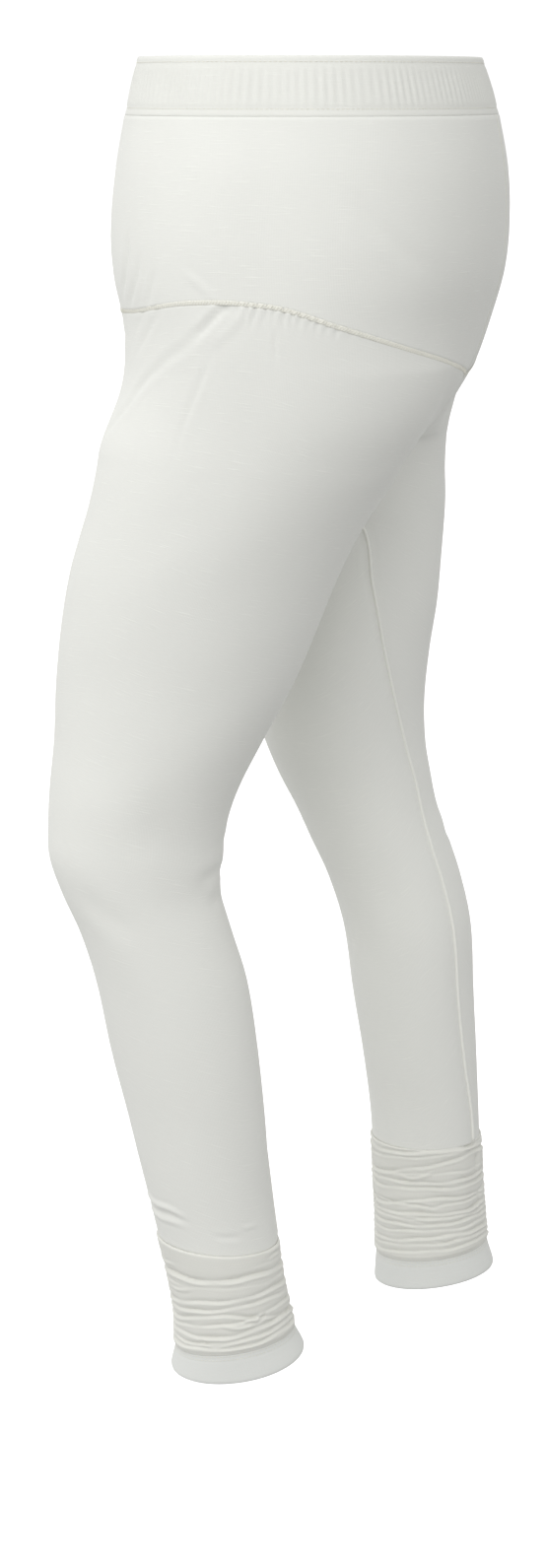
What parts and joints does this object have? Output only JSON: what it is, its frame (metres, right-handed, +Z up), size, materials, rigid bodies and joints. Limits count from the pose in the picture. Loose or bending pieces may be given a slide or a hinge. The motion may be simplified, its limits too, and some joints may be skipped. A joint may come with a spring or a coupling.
{
  "type": "churidar pants",
  "caption": "Worn off-white jersey churidar pants with an elastic waistband, a hip yoke and tapered legs with ruched ankles and plain hem bands.",
  "frame": {"origin": "middle of the waist opening, at the middle of the waistband's height", "axes": "+Z up the wearer's body, -Y the way the wearer faces, +X the wearer's left"},
  "size_m": [0.374, 0.3155, 0.9549],
  "materials": {
    "waistband_jersey": "matt double jersey over elastic",
    "yoke_jersey": "matt off-white stretch cotton jersey",
    "leg_jersey": "matt off-white stretch cotton jersey with faint slubs",
    "ruched_jersey": "matt off-white stretch cotton jersey, ruched",
    "hem_jersey": "matt off-white stretch cotton jersey, turned up and twin-stitched"
  },
  "bodies": {
    "root": {"waistband": "waistband_jersey", "yoke_left": "yoke_jersey", "yoke_right": "yoke_jersey", "leg_left": "leg_jersey", "leg_right": "leg_jersey", "churi_left": "ruched_jersey", "churi_right": "ruched_jersey", "hem_left": "hem_jersey", "hem_right": "hem_jersey"}
  },
  "joints": []
}
